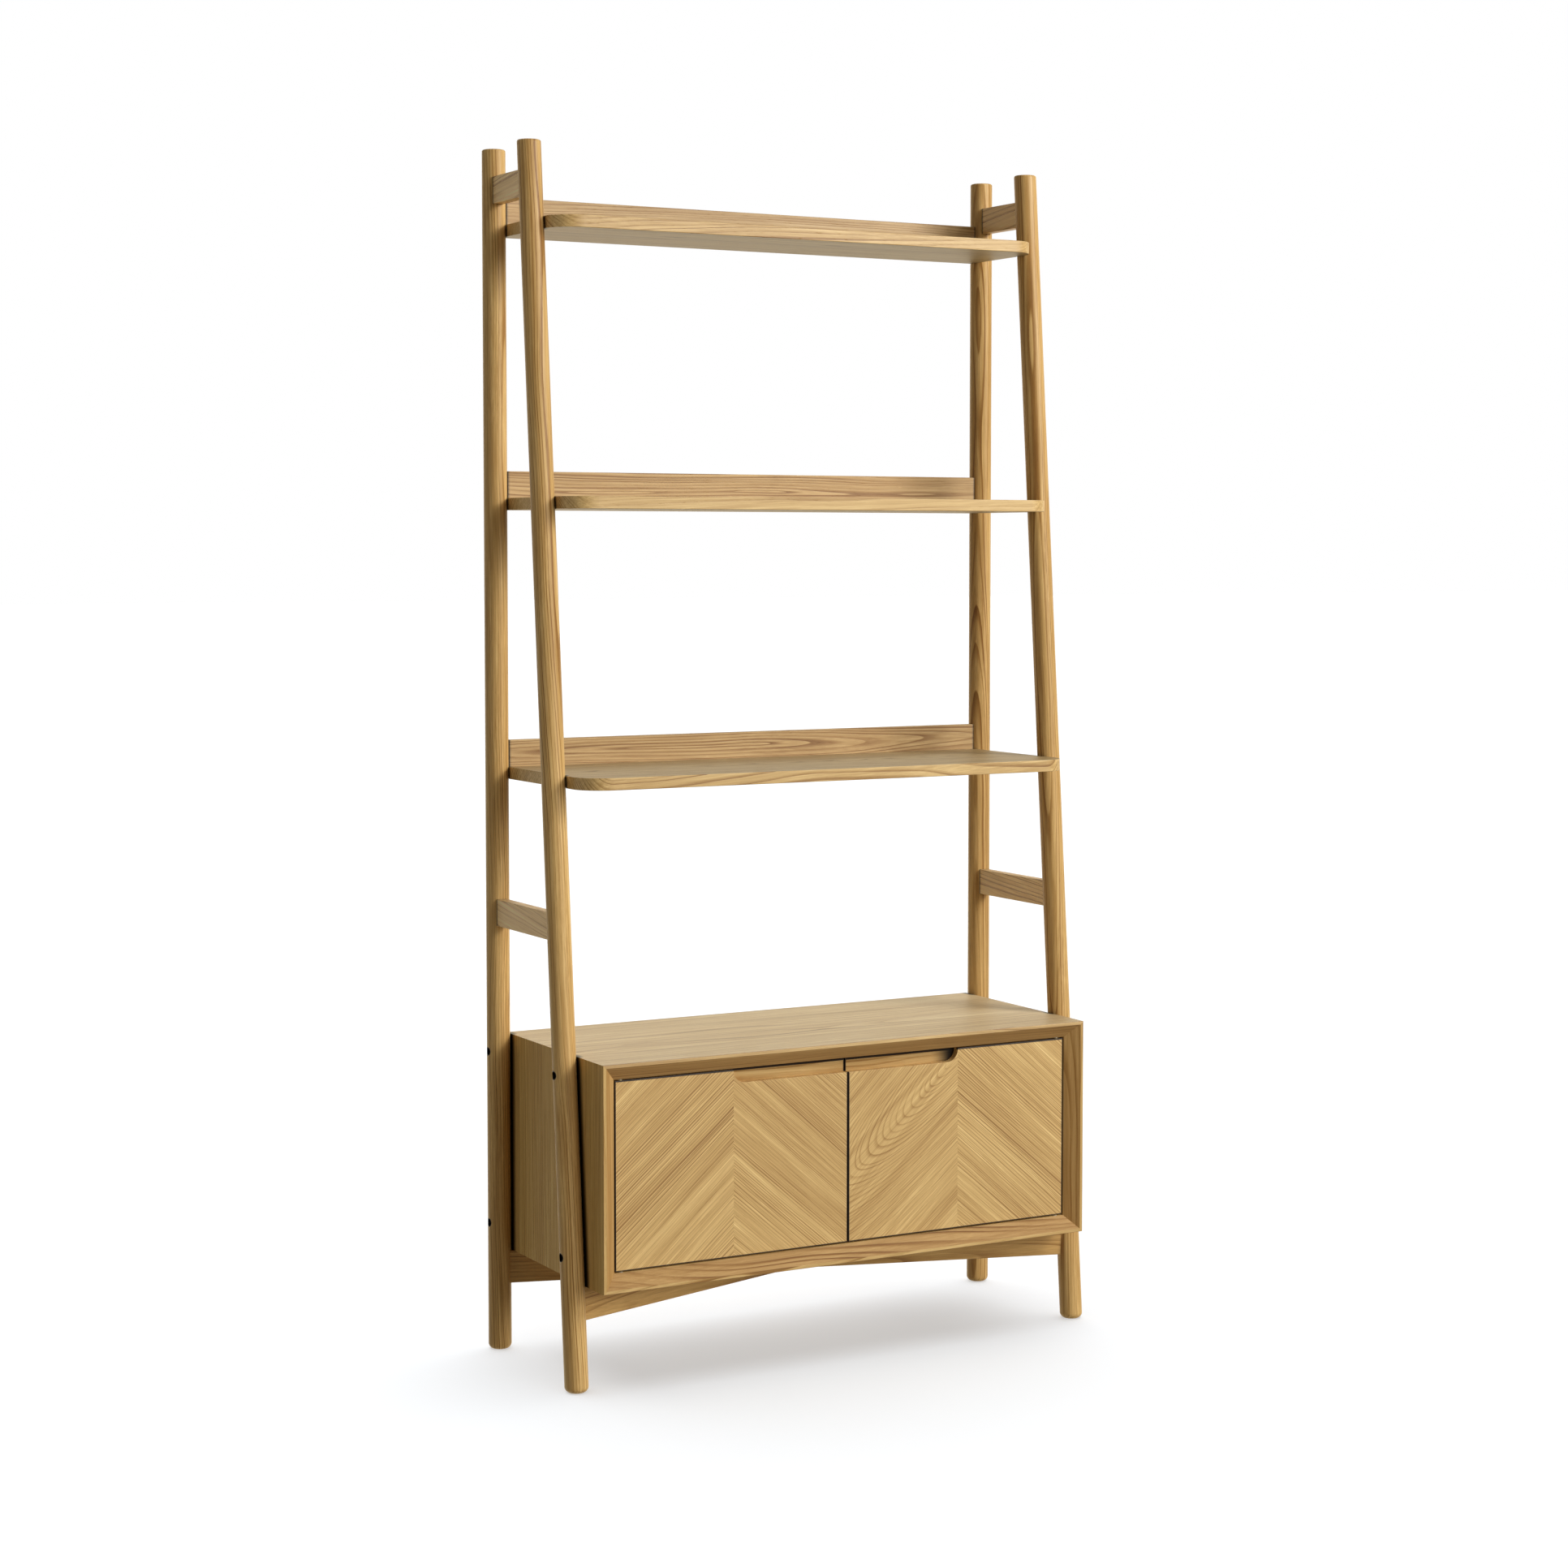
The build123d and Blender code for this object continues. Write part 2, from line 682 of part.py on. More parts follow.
# ---- magnetic catch and strike plates ----
with BuildPart() as catch:
    block(
        (-catch_size[0] / 2, catch_front_y, opening_high - catch_size[2]),
        (catch_size[0] / 2, catch_front_y + catch_size[1], opening_high),
    )
    fillet(catch.edges().filter_by(Axis.Z), edge_round)
    for x in (-magnet_x, magnet_x):
        with Locations((x, catch_front_y + magnet_size[1] / 2, strike_z)):
            Box(
                magnet_size[0] + 2 * fit_gap,
                magnet_size[1],
                magnet_size[2] + 2 * fit_gap,
                mode=Mode.SUBTRACT,
            )
    catch_screws(fit_gap, Mode.SUBTRACT)
save(catch, "catch_body")

with BuildPart() as magnets:
    for x in (-magnet_x, magnet_x):
        with Locations((x, catch_front_y + magnet_size[1] / 2, strike_z)):
            Box(*magnet_size)
save(magnets, "catch_magnets")

with BuildPart() as screws:
    catch_screws()
save(screws, "catch_screws")

with BuildPart() as strike:
    with Locations((-strike_x, door_back_y + strike_size[1] / 2, strike_z)):
        Box(*strike_size)
    strike_screws(fit_gap, Mode.SUBTRACT)
save_pair(strike, "strike_plate")

with BuildPart() as screws:
    strike_screws()
save_pair(screws, "strike_screws")
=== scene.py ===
import math

import bmesh
import bpy
from mathutils import Euler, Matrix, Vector


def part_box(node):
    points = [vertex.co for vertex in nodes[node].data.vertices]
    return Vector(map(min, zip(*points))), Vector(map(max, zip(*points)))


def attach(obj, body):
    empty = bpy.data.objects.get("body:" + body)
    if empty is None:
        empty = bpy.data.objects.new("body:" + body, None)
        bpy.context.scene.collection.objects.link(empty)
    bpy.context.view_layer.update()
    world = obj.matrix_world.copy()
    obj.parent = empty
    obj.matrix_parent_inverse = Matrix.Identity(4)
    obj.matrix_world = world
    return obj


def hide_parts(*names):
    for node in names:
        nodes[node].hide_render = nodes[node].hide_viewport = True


# Ladder shelf in oiled oak: round posts, the front ones leaning back, three open shelves, and a
# case with two chevron-veneered doors. Everything is in metres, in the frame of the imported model.

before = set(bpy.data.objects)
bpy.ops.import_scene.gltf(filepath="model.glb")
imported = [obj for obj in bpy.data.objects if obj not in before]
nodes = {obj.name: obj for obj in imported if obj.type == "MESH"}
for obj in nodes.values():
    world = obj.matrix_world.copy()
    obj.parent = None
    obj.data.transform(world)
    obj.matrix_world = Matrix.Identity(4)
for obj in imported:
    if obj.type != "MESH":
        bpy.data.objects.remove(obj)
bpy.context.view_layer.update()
scene = bpy.context.scene

# ---- light: watts for the softbox, strengths for the suns ----
KEY_POWER = 71.0
FRONT_STRENGTH = 0.8
SIDE_STRENGTH = 0.9
LEFT_FILL = 0.2
REAR_STRENGTH = 1.5
FLOOR_LIGHT = 3.6
FLOOR_GLOW = 0.54
FLOOR_GREY = (0.515, 0.537, 0.56, 1)
FLOOR_REACH = 60.0
BOUNCE = (0.20, 0.186, 0.150, 1)
REAR_GLOW = (1.13, 1.02, 0.80, 1)
WHITE = (1.0, 1.0, 1.0, 1)

# ---- camera ----
LENS_MM = 68.277
CAMERA_SHIFT = -0.04
CAMERA_PLACE = (-2.2159, -3.9432, 1.2102)
CAMERA_YAW = math.radians(29.079)
CAMERA_TIP = math.radians(3.323)

# ---- woods, linear: the middle colour of each group of pieces ----
POST_OAK = (0.63, 0.375, 0.128, 1)
SHELF_OAK = (0.63, 0.395, 0.144, 1)
UPSTAND_OAK = (0.545, 0.335, 0.128, 1)
RAIL_OAK = (0.82, 0.53, 0.228, 1)
STRIP_OAK = (0.49, 0.295, 0.105, 1)
STRETCHER_OAK = (0.58, 0.325, 0.098, 1)
# The case top's colour is its own oak with painted sheen, which makes it paler and greyer.
TOP_OAK_AND_SHEEN = (0.79, 0.585, 0.315, 1)
SIDE_OAK = (0.72, 0.445, 0.145, 1)
BEVEL_OAK = (0.47, 0.26, 0.085, 1)
DOOR_OAK = (0.64, 0.398, 0.14, 1)
# Painted shade: the shelves' broad faces are painted browner than their edges.
SHELF_FACE_SHADED_OAK = (0.47, 0.325, 0.145, 1)
DOWEL_BEECH = (0.66, 0.48, 0.27, 1)
# Painted shade: near-black colour for the front arris round the doors and pull strips, where the gaps
# lie.
PAINTED_GAP_SHADE = (0.030, 0.017, 0.008, 1)
# Painted shade: near-black colour for the crevices at the posts, the end of the finger recess and the
# bolt counterbores.
PAINTED_SHADE = (0.016, 0.010, 0.005, 1)

# ---- the oak's figure: waves a metre along the grain and twice across it ----
SWAY_WAVES = (2.2, 11.0, 11.0)
BROAD_WAVES = (1.3, 30.0, 30.0)
ZONE_WAVES = (1.6, 22.0, 22.0)
STREAK_WAVES = (3.4, 170.0, 170.0)
FIBRE_WAVES = (14.0, 760.0, 760.0)
FLECK_WAVES = (55.0, 420.0, 420.0)
PORE_WAVES = (95.0, 1500.0, 1500.0)
HEART_WANDER = (0.0, 0.026, 0.026)
RING_UNEVENNESS = 2.6
MEAN_RING = 0.22
BROAD_DARK, STREAK_DARK, FIBRE_DARK, PORE_DARK, FLECK_DARK = 0.6, 1.1, 0.75, 0.36, -0.12
# What is left of red, green and blue where the figure is darker by 1.
FALL = (0.47, 0.36, 0.25)

# ---- how each kind of piece shows its figure ----
POST_FIGURE = {"ring_depth": 0.62, "streaks": 1.3, "gloss": 0.22, "rough": 0.38}
RAIL_FIGURE = {"ring_depth": 0.85, "streaks": 1.2, "gloss": 0.6, "rough": 0.44}
STRIP_FIGURE = {"ring_width": 0.0035, "gloss": 0.12}
UPSTAND_FIGURE = {"ring_depth": 0.6, "gloss": 0.45}
BACK_FIGURE = {"ring_width": 0.006, "ring_depth": 0.4}
DOWEL_FIGURE = {"ring_width": 0.002, "ring_depth": 0.2, "streaks": 0.6}
SHELF_FIGURE = {"ring_width": 0.0045, "ring_depth": 0.6, "gloss": 0.55}
DOOR_FIGURE = {"ring_width": 0.0034, "streaks": 1.15, "gloss": 0.55, "sway": 0.45}
CASE_FIGURE = {"ring_width": 0.0045, "streaks": 0.9}
CHEVRON_SLOPE = math.radians(41)
# The leaves of a door's two halves come from this far either side of the middle of a log.
LEAF_SHIFT = 0.83
# How squarely a face must look forward or up to count as a bevel, a front edge or a broad face.
BEVEL_FACING, FRONT_FACING, BROAD_FACING = 0.2, 0.97, 0.8

# ---- where the posts stand: RAKE is how far the front ones lean back for each metre up ----
POST_X = 0.4295
POST_RADIUS = 0.0175
REAR_Y = 0.155
FOOT_Y = -0.118
RAKE = 0.146 / 1.8

# ---- painted shade in dark narrow places: where each band of painted shade starts and ends, in metres ----
RAIL_CREVICE = (0.0, 0.0045)
SHELF_CREVICE = (0.0015, 0.0075)
CASE_CREVICE = (0.0025, 0.0125)
ARRIS = (0.0009, 0.0019)
ARRIS_DEPTH = (0.0025, 0.006)
DOOR_TOP = 0.0006
STRIP_TOP = 0.0022
# Painted shadow at the right end of the right finger recess, across the strip.
RECESS_END = (0.150, 0.186)
BOLT_HOLE_SHADE = (0.0064, 0.0070)
AXIS_TOLERANCE = 0.004


# ======================================================================================
# Node helpers
# ======================================================================================
def put(tree, kind, *values, named=(), **settings):
    """Adds a node. Values go to its inputs in order, and named ones by name; None skips an input."""
    made = tree.nodes.new(kind)
    for name, value in settings.items():
        setattr(made, name, value)
    for key, value in [*enumerate(values), *dict(named).items()]:
        if isinstance(value, bpy.types.NodeSocket):
            tree.links.new(value, made.inputs[key])
        elif value is not None:
            made.inputs[key].default_value = value
    return made


def calc(tree, operation, *values):
    return put(tree, "ShaderNodeMath", *values, operation=operation).outputs[0]


def diagonal(tree, first, second):
    """How long the diagonal of a rectangle with these sides is."""
    squares = calc(tree, "ADD", calc(tree, "MULTIPLY", first, first),
                   calc(tree, "MULTIPLY", second, second))
    return calc(tree, "SQRT", squares)


def place_parts(tree):
    """X, Y and Z of each point of the piece."""
    place = put(tree, "ShaderNodeTexCoord").outputs["Object"]
    return put(tree, "ShaderNodeSeparateXYZ", place).outputs


def blend(tree, factor, first, second):
    """The colour between two colours."""
    mix = put(tree, "ShaderNodeMix", data_type="RGBA")
    for socket, value in ((mix.inputs[0], factor), (mix.inputs[6], first), (mix.inputs[7], second)):
        if isinstance(value, bpy.types.NodeSocket):
            tree.links.new(value, socket)
        else:
            socket.default_value = value
    return mix.outputs[2]


def noise(tree, place, scale, detail=2.0, rough=0.5, dims="3D"):
    """A noise of mean 0.5; scale is how many waves a metre has, or three such numbers."""
    if dims == "1D":
        made = put(tree, "ShaderNodeTexNoise", noise_dimensions="1D",
                   named={"W": place, "Scale": scale, "Detail": detail, "Roughness": rough})
        return made.outputs[0]
    stretched = put(tree, "ShaderNodeVectorMath", place, scale, operation="MULTIPLY").outputs[0]
    made = put(tree, "ShaderNodeTexNoise",
               named={"Vector": stretched, "Scale": 1.0, "Detail": detail, "Roughness": rough})
    return made.outputs[0]


def step(tree, value, low, high, to_low=0.0, to_high=1.0):
    """A smooth step from to_low at low to to_high at high."""
    made = put(tree, "ShaderNodeMapRange", value, low, high, to_low, to_high,
               interpolation_type="SMOOTHSTEP")
    return made.outputs[0]


# ======================================================================================
# Oak
# ======================================================================================
def make_oak_figure():
    """Node group for oak cut from a log that lies along X: growth rings, pores, fibres and tone."""
    tree = bpy.data.node_groups.new("oak_figure", "ShaderNodeTree")
    face = tree.interface
    face.new_socket("Grain", in_out="INPUT", socket_type="NodeSocketVector")
    face.new_socket("Oak", in_out="INPUT", socket_type="NodeSocketColor")
    for name, value in (("Ring Width", 0.004), ("Ring Depth", 0.5), ("Streaks", 1.0), ("Sway", 1.0),
                        ("Heart Depth", 0.0)):
        face.new_socket(name, in_out="INPUT", socket_type="NodeSocketFloat").default_value = value
    face.new_socket("Colour", in_out="OUTPUT", socket_type="NodeSocketColor")
    face.new_socket("Roughness", in_out="OUTPUT", socket_type="NodeSocketFloat")
    face.new_socket("Height", in_out="OUTPUT", socket_type="NodeSocketFloat")
    given = put(tree, "NodeGroupInput")
    grain = given.outputs["Grain"]

    # The log isn't straight: its heart wanders a few millimetres along the length.
    sway = put(tree, "ShaderNodeVectorMath", grain, SWAY_WAVES, operation="MULTIPLY")
    swayed = put(tree, "ShaderNodeTexNoise",
                 named={"Vector": sway.outputs[0], "Scale": 1.0, "Detail": 1.5, "Roughness": 0.45})
    centred = put(tree, "ShaderNodeVectorMath", swayed.outputs["Color"], (0.5, 0.5, 0.5),
                  operation="SUBTRACT")
    wander = put(tree, "ShaderNodeVectorMath", centred.outputs[0], HEART_WANDER, operation="MULTIPLY")
    wander = put(tree, "ShaderNodeVectorMath", wander.outputs[0], operation="SCALE",
                 named={"Scale": given.outputs["Sway"]})
    bent = put(tree, "ShaderNodeVectorMath", grain, wander.outputs[0], operation="ADD").outputs[0]
    sunk = put(tree, "ShaderNodeCombineXYZ", 0.0, 0.0, given.outputs["Heart Depth"]).outputs[0]
    across = put(tree, "ShaderNodeVectorMath", bent, (0.0, 1.0, 1.0), sunk,
                 operation="MULTIPLY_ADD").outputs[0]
    radius = put(tree, "ShaderNodeVectorMath", across, operation="LENGTH").outputs["Value"]

    # Growth rings: each starts with a dark porous edge and fades into plain wood.
    uneven = calc(tree, "MULTIPLY", noise(tree, radius, 70.0, dims="1D"), RING_UNEVENNESS)
    count = calc(tree, "ADD", calc(tree, "DIVIDE", radius, given.outputs["Ring Width"]), uneven)
    part = calc(tree, "FRACT", count)
    edge = step(tree, part, 0.02, 0.5, 1.0, 0.0)
    start = step(tree, part, 0.0, 0.06)
    porous = calc(tree, "MULTIPLY", edge, start)
    each = put(tree, "ShaderNodeTexWhiteNoise", noise_dimensions="1D",
               named={"W": calc(tree, "FLOOR", count)}).outputs["Value"]

    # Rings fade in and out in zones, and between them lie streaks, fibres, pores and pale flecks.
    broad = noise(tree, bent, BROAD_WAVES)
    zone = step(tree, noise(tree, bent, ZONE_WAVES, 1.0), 0.36, 0.62, 0.3, 1.25)
    streak = noise(tree, bent, STREAK_WAVES, 4.0, 0.66)
    fibre = noise(tree, bent, FIBRE_WAVES, 3.0, 0.66)
    pore = step(tree, noise(tree, grain, PORE_WAVES, 2.0, 0.55), 0.60, 0.72)
    pores = calc(tree, "MULTIPLY", pore, calc(tree, "MULTIPLY_ADD", porous, 0.8, 0.2))
    fleck = step(tree, noise(tree, bent, FLECK_WAVES), 0.66, 0.76)

    rings = calc(tree, "MULTIPLY", porous, calc(tree, "ADD", each, 0.6))
    rings = calc(tree, "SUBTRACT", calc(tree, "MULTIPLY", rings, zone), MEAN_RING)
    dark = calc(tree, "MULTIPLY", rings, given.outputs["Ring Depth"])
    dark = calc(tree, "MULTIPLY_ADD", calc(tree, "SUBTRACT", broad, 0.5), BROAD_DARK, dark)
    for wave, strength in ((streak, STREAK_DARK), (fibre, FIBRE_DARK)):
        level = calc(tree, "MULTIPLY", calc(tree, "SUBTRACT", wave, 0.5), strength)
        dark = calc(tree, "MULTIPLY_ADD", level, given.outputs["Streaks"], dark)
    dark = calc(tree, "MULTIPLY_ADD", pores, PORE_DARK, dark)
    dark = calc(tree, "MULTIPLY_ADD", fleck, FLECK_DARK, dark)

    # Dark wood is also redder, so blue falls off fastest.
    middle = put(tree, "ShaderNodeSeparateColor", given.outputs["Oak"]).outputs
    shades = [calc(tree, "MULTIPLY", middle[number], calc(tree, "POWER", fall, dark))
              for number, fall in enumerate(FALL)]
    colour = put(tree, "ShaderNodeCombineColor", *shades).outputs[0]
    rough = calc(tree, "MULTIPLY_ADD", pores, 0.16, calc(tree, "MULTIPLY_ADD", streak, 0.14, -0.07))
    deep = calc(tree, "MULTIPLY_ADD", porous, -0.35, calc(tree, "MULTIPLY", pores, -1.0))
    height = calc(tree, "MULTIPLY_ADD", fibre, 0.35, deep)
    put(tree, "NodeGroupOutput", colour, rough, height)
    return tree


oak_figure = make_oak_figure()


def finish_oak(material, grain, colour, ring_width=0.0042, ring_depth=0.5, streaks=1.0, gloss=0.5,
               rough=0.46, sway=1.0, heart_depth=0.0):
    """Wires the figure of the oak into an oiled surface."""
    tree = material.node_tree
    figure = put(tree, "ShaderNodeGroup", node_tree=oak_figure,
                 named={"Grain": grain, "Oak": colour, "Ring Width": ring_width,
                        "Ring Depth": ring_depth, "Streaks": streaks, "Sway": sway,
                        "Heart Depth": heart_depth})
    bump = put(tree, "ShaderNodeBump",
               named={"Strength": 0.55, "Distance": 0.00025, "Height": figure.outputs["Height"]})
    skin = put(tree, "ShaderNodeBsdfPrincipled",
               named={"Base Color": figure.outputs["Colour"],
                      "Roughness": calc(tree, "ADD", figure.outputs["Roughness"], rough),
                      "Normal": bump.outputs[0], "Specular IOR Level": gloss})
    put(tree, "ShaderNodeOutputMaterial", skin.outputs[0])
    return material


def new_material(name):
    material = bpy.data.materials.new(name)
    material.use_nodes = True
    material.node_tree.nodes.clear()
    return material


def solids_of(node):
    """The lowest and highest corner of each separate solid in a CAD node."""
    work = bmesh.new()
    work.from_mesh(nodes[node].data)
    bmesh.ops.remove_doubles(work, verts=work.verts, dist=1e-6)
    waiting, boxes = set(work.verts), []
    while waiting:
        solid, edge = set(), [waiting.pop()]
        while edge:
            vert = edge.pop()
            solid.add(vert)
            near = {e.other_vert(vert) for e in vert.link_edges} & waiting
            waiting -= near
            edge.extend(near)
        boxes.append([Vector(pick(v.co[axis] for v in solid) for axis in range(3))
                      for pick in (min, max)])
    work.free()
    return sorted(boxes, key=lambda box: tuple(round(x, 4) for x in box[0]))


def laid_grain(tree, node, turn, heart):
    """Grain coordinates: turn brings a piece's grain onto X, heart is its middle in the log."""
    low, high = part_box(node)
    middle = Euler(turn).to_matrix() @ ((Vector(low) + Vector(high)) / 2)
    place = put(tree, "ShaderNodeTexCoord").outputs["Object"]
    start = tuple(Vector(heart) - middle)
    return put(tree, "ShaderNodeMapping", place, start, turn, vector_type="POINT").outputs[0]


def post_distance(tree, axis_y, rake):
    """How far a point lies from the axis of the nearer post of the front or the rear pair."""
    split = place_parts(tree)
    aside = calc(tree, "SUBTRACT", calc(tree, "ABSOLUTE", split[0]), POST_X)
    along = calc(tree, "SUBTRACT", calc(tree, "SUBTRACT", split[1], axis_y),
                 calc(tree, "MULTIPLY", split[2], rake))
    return diagonal(tree, aside, along)


def paint_crevice_shade(tree, colour, crevice):
    """Painted shade: boards are painted dark in the narrow crevice where they meet a round post."""
    nearest = calc(tree, "MINIMUM", post_distance(tree, REAR_Y, 0.0),
                   post_distance(tree, FOOT_Y, RAKE))
    start, end = crevice
    clear = step(tree, nearest, POST_RADIUS + start, POST_RADIUS + end)
    return blend(tree, clear, PAINTED_SHADE, colour)


def paint_gap_shade(tree, node, colour, top):
    """Painted shade of the gap round a door part: its front arris is painted dark, wider by top along
    its top.
    """
    low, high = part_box(node)
    split = place_parts(tree)
    sides = [calc(tree, "SUBTRACT", split[axis], low[axis]) for axis in (0, 2)]
    sides += [calc(tree, "SUBTRACT", high[axis], split[axis]) for axis in (0, 2)]
    sides[3] = calc(tree, "SUBTRACT", sides[3], top)
    inward = calc(tree, "MINIMUM", calc(tree, "MINIMUM", sides[0], sides[1]),
                  calc(tree, "MINIMUM", sides[2], sides[3]))
    rim = step(tree, inward, *ARRIS, 1.0, 0.0)
    front = step(tree, calc(tree, "SUBTRACT", split[1], low.y), *ARRIS_DEPTH, 1.0, 0.0)
    return blend(tree, calc(tree, "MULTIPLY", rim, front), colour, PAINTED_GAP_SHADE)


def paint_recess_shade(tree, node, colour):
    """A pull strip lies in the finger recess: painted shade of the gap on its arris, and a painted
    shadow at the right end of the right one.
    """
    colour = paint_gap_shade(tree, node, colour, STRIP_TOP)
    if node.startswith("right"):
        colour = blend(tree, step(tree, place_parts(tree)[0], *RECESS_END), colour, PAINTED_SHADE)
    return colour


def paint_bolt_hole_shade(tree, node, colour):
    """Painted shade: the counterbores of the case bolts are painted black, up to their rims on the
    post's outer side.
    """
    low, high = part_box(node)
    split = place_parts(tree)
    outer = calc(tree, "GREATER_THAN", calc(tree, "ABSOLUTE", split[0]), abs(low.x + high.x) / 2)
    for bolt_low, bolt_high in solids_of("case_bolts"):
        bolt = (bolt_low + bolt_high) / 2
        axis_y = REAR_Y if "rear" in node else FOOT_Y + RAKE * bolt.z
        if not low.x < bolt.x < high.x or abs(bolt.y - axis_y) > AXIS_TOLERANCE:
            continue
        away = diagonal(tree, calc(tree, "SUBTRACT", split[1], bolt.y),
                        calc(tree, "SUBTRACT", split[2], bolt.z))
        inside = calc(tree, "MULTIPLY", step(tree, away, *BOLT_HOLE_SHADE, 1.0, 0.0), outer)
        colour = blend(tree, inside, colour, PAINTED_SHADE)
    return colour


def oak(node, turn, heart, colour, figure):
    """Solid oak for one CAD node."""
    material = new_material(node + "_oak")
    tree = material.node_tree
    grain = laid_grain(tree, node, turn, heart)
    if "post" in node:
        colour = paint_bolt_hole_shade(tree, node, colour)
    elif "strip" in node:
        colour = paint_recess_shade(tree, node, colour)
    elif "rail" in node or "upstand" in node:
        colour = paint_crevice_shade(tree, colour, RAIL_CREVICE)
    return finish_oak(material, grain, colour, **figure)


def facing(tree, axis):
    """How much a face looks along an axis, from -1 to 1."""
    normal = put(tree, "ShaderNodeNewGeometry").outputs["True Normal"]
    return put(tree, "ShaderNodeSeparateXYZ", normal).outputs[axis]


def shelf_oak(node, turn, heart):
    """A shelf board: its broad faces are painted browner than its edges as painted shade, and painted
    shade lies where it meets the posts.
    """
    material = new_material(node + "_oak")
    tree = material.node_tree
    broad = calc(tree, "GREATER_THAN", calc(tree, "ABSOLUTE", facing(tree, 2)), BROAD_FACING)
    colour = paint_crevice_shade(tree, blend(tree, broad, SHELF_OAK, SHELF_FACE_SHADED_OAK), SHELF_CREVICE)
    return finish_oak(material, laid_grain(tree, node, turn, heart), colour, **SHELF_FIGURE)


def case_oak(node, turn, heart, outside, ring_depth, gloss):
    """Veneer outside, a lipping on the front edge, and a bevel that runs in to the doors."""
    material = new_material(node + "_oak")
    tree = material.node_tree
    forward = calc(tree, "MULTIPLY", facing(tree, 1), -1.0)
    colour = blend(tree, calc(tree, "GREATER_THAN", forward, BEVEL_FACING), outside, BEVEL_OAK)
    colour = blend(tree, calc(tree, "GREATER_THAN", forward, FRONT_FACING), colour, SHELF_OAK)
    # Painted shade in the crevices where the case meets the posts.
    colour = paint_crevice_shade(tree, colour, CASE_CREVICE)
    return finish_oak(material, laid_grain(tree, node, turn, heart), colour, ring_depth=ring_depth,
                      gloss=gloss, **CASE_FIGURE)


def chevron(door, hearts):
    """Veneer laid in a chevron: the grain of each half climbs to the middle of the door.

    hearts gives the left and the right half's leaf in its log: how far across, how deep, how fast the
    depth grows up the grain, where up the grain the heart comes out of the face, and how strong the
    rings are.
    """
    low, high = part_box(door)
    rise_of_slope, run_of_slope = math.sin(CHEVRON_SLOPE), math.cos(CHEVRON_SLOPE)
    material = new_material(door + "_veneer")
    tree = material.node_tree
    split = place_parts(tree)
    off = calc(tree, "SUBTRACT", split[0], (low.x + high.x) / 2)
    out = calc(tree, "ABSOLUTE", off)
    half = calc(tree, "SIGN", off)
    climb = calc(tree, "SUBTRACT", calc(tree, "MULTIPLY", split[2], rise_of_slope),
                 calc(tree, "MULTIPLY", out, run_of_slope))
    over = calc(tree, "ADD", calc(tree, "MULTIPLY", out, rise_of_slope),
                calc(tree, "MULTIPLY", split[2], run_of_slope))
    aside, deep, rise, spot, rings = (
        calc(tree, "MULTIPLY_ADD", half, (right - left) / 2, (right + left) / 2)
        for left, right in zip(*hearts))
    depth = calc(tree, "MULTIPLY_ADD", calc(tree, "SUBTRACT", climb, spot), rise, deep)
    depth = calc(tree, "ADD", depth, -low.y)
    laid = put(tree, "ShaderNodeCombineXYZ", calc(tree, "MULTIPLY_ADD", half, LEAF_SHIFT, climb),
               calc(tree, "SUBTRACT", over, aside), split[1]).outputs[0]
    # The door's front arris carries painted shade of the gap round it.
    return finish_oak(material, laid, paint_gap_shade(tree, door, DOOR_OAK, DOOR_TOP), ring_depth=rings,
                      heart_depth=depth, **DOOR_FIGURE)


# ======================================================================================
# Metals, plastic and magnets
# ======================================================================================
def plain_material(name, colour, second, metallic, rough, grain_scale, bump_height=0.00005):
    """A surface with a fine mottle of two colours and a slightly uneven gloss."""
    material = new_material(name)
    tree = material.node_tree
    place = put(tree, "ShaderNodeTexCoord").outputs["Object"]
    fine = noise(tree, place, grain_scale, 3.0, 0.6)
    cloud = noise(tree, place, (90.0, 90.0, 90.0), 2.0)
    mottle = step(tree, calc(tree, "ADD", calc(tree, "MULTIPLY", fine, 0.6),
                             calc(tree, "MULTIPLY", cloud, 0.4)), 0.3, 0.7)
    bump = put(tree, "ShaderNodeBump",
               named={"Strength": 0.4, "Distance": bump_height, "Height": fine})
    skin = put(tree, "ShaderNodeBsdfPrincipled",
               named={"Base Color": blend(tree, mottle, colour, second), "Metallic": metallic,
                      "Roughness": calc(tree, "MULTIPLY_ADD", mottle, 0.16, rough),
                      "Normal": bump.outputs[0]})
    put(tree, "ShaderNodeOutputMaterial", skin.outputs[0])
    return material


zinc_steel = plain_material("zinc_steel", (0.56, 0.56, 0.55, 1), (0.66, 0.66, 0.67, 1),
                            metallic=1.0, rough=0.26, grain_scale=(1800.0, 1800.0, 260.0))
black_oxide = plain_material("black_oxide", (0.018, 0.018, 0.019, 1), (0.040, 0.038, 0.036, 1),
                             metallic=0.7, rough=0.38, grain_scale=(1500.0, 1500.0, 1500.0))
turned_brass = plain_material("turned_brass", (0.72, 0.52, 0.22, 1), (0.62, 0.42, 0.16, 1),
                              metallic=1.0, rough=0.24, grain_scale=(300.0, 300.0, 2600.0))
brown_plastic = plain_material("brown_plastic", (0.050, 0.033, 0.022, 1), (0.070, 0.048, 0.033, 1),
                               metallic=0.0, rough=0.46, grain_scale=(2400.0, 2400.0, 2400.0),
                               bump_height=0.00008)
ferrite = plain_material("ferrite", (0.055, 0.055, 0.060, 1), (0.10, 0.10, 0.11, 1), metallic=0.2,
                         rough=0.55, grain_scale=(2200.0, 2200.0, 2200.0), bump_height=0.00008)


def assign(node, material):
    """Puts the material on a CAD node, whose shape stays as it is."""
    piece = nodes[node]
    if not piece.material_slots:
        piece.data.materials.append(material)
    for held in piece.material_slots:
        held.link = "OBJECT"
        held.material = material


